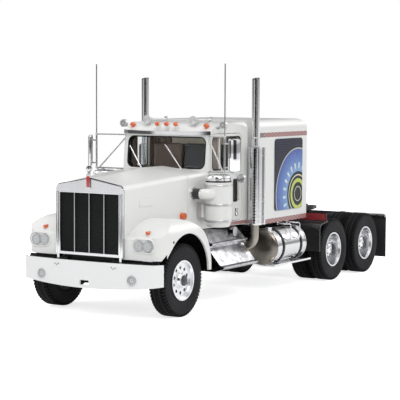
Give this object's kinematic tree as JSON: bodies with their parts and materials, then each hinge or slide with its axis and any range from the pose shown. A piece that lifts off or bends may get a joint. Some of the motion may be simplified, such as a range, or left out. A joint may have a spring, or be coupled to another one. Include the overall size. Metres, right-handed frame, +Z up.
{
  "type": "scale model of a semi truck tractor unit",
  "caption": "Plastic scale model of a conventional semi truck tractor with sleeper, tilting hood, opening doors, steered front axle, rolling tandem axles and a tilting fifth wheel.",
  "frame": {"origin": "on the floor under the middle of the model's length and width", "axes": "+Z up, the nose faces -Y, +X is the driver's side (the model's left)"},
  "size_m": [0.115, 0.32, 0.1514],
  "materials": {
    "body_white": "gloss",
    "frame_black": "satin",
    "plated_chrome": "polished",
    "tyre_black": "matte",
    "clear_glass": "clear",
    "lamp_lens": "clear",
    "amber_lens": "gloss",
    "spot_grey": "satin",
    "cabin_brown": "matte",
    "seat_dark": "matte",
    "engine_grey": "satin",
    "panel_blue": "gloss",
    "board_red": "gloss",
    "flap_black": "matte",
    "pipe_steel": "satin"
  },
  "bodies": {
    "chassis": {"air_cleaners": "body_white", "air_horns": "plated_chrome", "bumper_lamps": "lamp_lens", "cab_floor": "frame_black", "cab_shell": "body_white", "chassis_frame": "frame_black", "dashboard": "cabin_brown", "drive_axles": "frame_black", "engine": "engine_grey", "exhaust_elbows": "pipe_steel", "exhaust_stacks": "plated_chrome", "fifth_wheel_base": "frame_black", "front_axle": "frame_black", "front_bumper": "plated_chrome", "fuel_tanks": "plated_chrome", "intake_pipes": "plated_chrome", "mirrors": "plated_chrome", "mudflaps": "flap_black", "name_boards": "board_red", "quarter_fenders": "frame_black", "radiator": "frame_black", "rear_light_bar": "plated_chrome", "roof_lamps": "amber_lens", "seats": "seat_dark", "side_panels": "panel_blue", "sleeper_boot": "flap_black", "sleeper_shell": "body_white", "spot_lamps": "spot_grey", "steering_wheel": "seat_dark", "step_boxes": "plated_chrome", "sun_visor": "plated_chrome", "tank_brackets": "plated_chrome", "tool_box": "frame_black", "windshield": "clear_glass", "wipers": "plated_chrome"},
    "hood": {"hood_shell": "body_white", "grille_surround": "plated_chrome", "grille_core": "plated_chrome", "headlamps": "lamp_lens", "hood_lamps": "amber_lens"},
    "door_left_body": {"door_left": "body_white", "door_glass_left": "clear_glass"},
    "door_right_body": {"door_right": "body_white", "door_glass_right": "clear_glass"},
    "steer_left_body": {"knuckle_left": "frame_black"},
    "steer_right_body": {"knuckle_right": "frame_black"},
    "tie_rod_body": {"tie_rod": "frame_black"},
    "front_wheel_left": {"front_tyre_left": "tyre_black", "front_rim_left": "plated_chrome"},
    "front_wheel_right": {"front_tyre_right": "tyre_black", "front_rim_right": "plated_chrome"},
    "fifth_wheel": {"fifth_wheel_plate": "frame_black"},
    "drive_wheels_1_left": {"drive_tyres_1_left": "tyre_black", "drive_rims_1_left": "plated_chrome"},
    "drive_wheels_1_right": {"drive_tyres_1_right": "tyre_black", "drive_rims_1_right": "plated_chrome"},
    "drive_wheels_2_left": {"drive_tyres_2_left": "tyre_black", "drive_rims_2_left": "plated_chrome"},
    "drive_wheels_2_right": {"drive_tyres_2_right": "tyre_black", "drive_rims_2_right": "plated_chrome"}
  },
  "joints": [
    {"name": "hood_tilt", "type": "hinge", "parent": "chassis", "child": "hood", "pos_m": [0, -0.153, 0.0337], "axis": [1, 0, 0], "range_deg": [0, 60]},
    {"name": "door_left_swing", "type": "hinge", "parent": "chassis", "child": "door_left_body", "pos_m": [0.03264, -0.06882, 0.076], "axis": [0, 0, -1], "range_deg": [0, 65]},
    {"name": "door_right_swing", "type": "hinge", "parent": "chassis", "child": "door_right_body", "pos_m": [-0.03264, -0.06882, 0.076], "axis": [0, 0, 1], "range_deg": [0, 65]},
    {"name": "steer_left", "type": "hinge", "parent": "chassis", "child": "steer_left_body", "pos_m": [0.034, -0.1262, 0.022], "axis": [0, 0, 1], "range_deg": [-30, 30]},
    {"name": "steer_right", "type": "hinge", "parent": "chassis", "child": "steer_right_body", "pos_m": [-0.034, -0.1262, 0.022], "axis": [0, 0, 1], "range_deg": [-30, 30]},
    {"name": "tie_rod_pivot", "type": "hinge", "parent": "steer_left_body", "child": "tie_rod_body", "pos_m": [0.034, -0.1167, 0.022], "axis": [0, 0, 1], "range_deg": [-30, 30]},
    {"name": "front_wheel_left_spin", "type": "hinge", "parent": "steer_left_body", "child": "front_wheel_left", "pos_m": [0.043, -0.1262, 0.022], "axis": [1, 0, 0], "continuous": true},
    {"name": "front_wheel_right_spin", "type": "hinge", "parent": "steer_right_body", "child": "front_wheel_right", "pos_m": [-0.043, -0.1262, 0.022], "axis": [1, 0, 0], "continuous": true},
    {"name": "fifth_wheel_tilt", "type": "hinge", "parent": "chassis", "child": "fifth_wheel", "pos_m": [0, 0.09985, 0.045], "axis": [1, 0, 0], "range_deg": [-10, 10]},
    {"name": "drive_wheels_1_left_spin", "type": "hinge", "parent": "chassis", "child": "drive_wheels_1_left", "pos_m": [0.0365, 0.0752, 0.022], "axis": [1, 0, 0], "continuous": true},
    {"name": "drive_wheels_1_right_spin", "type": "hinge", "parent": "chassis", "child": "drive_wheels_1_right", "pos_m": [-0.0365, 0.0752, 0.022], "axis": [1, 0, 0], "continuous": true},
    {"name": "drive_wheels_2_left_spin", "type": "hinge", "parent": "chassis", "child": "drive_wheels_2_left", "pos_m": [0.0365, 0.1285, 0.022], "axis": [1, 0, 0], "continuous": true},
    {"name": "drive_wheels_2_right_spin", "type": "hinge", "parent": "chassis", "child": "drive_wheels_2_right", "pos_m": [-0.0365, 0.1285, 0.022], "axis": [1, 0, 0], "continuous": true}
  ],
  "couplings": [
    {"joint": "steer_right", "follows": "steer_left", "ratio": 1},
    {"joint": "tie_rod_pivot", "follows": "steer_left", "ratio": -1}
  ]
}
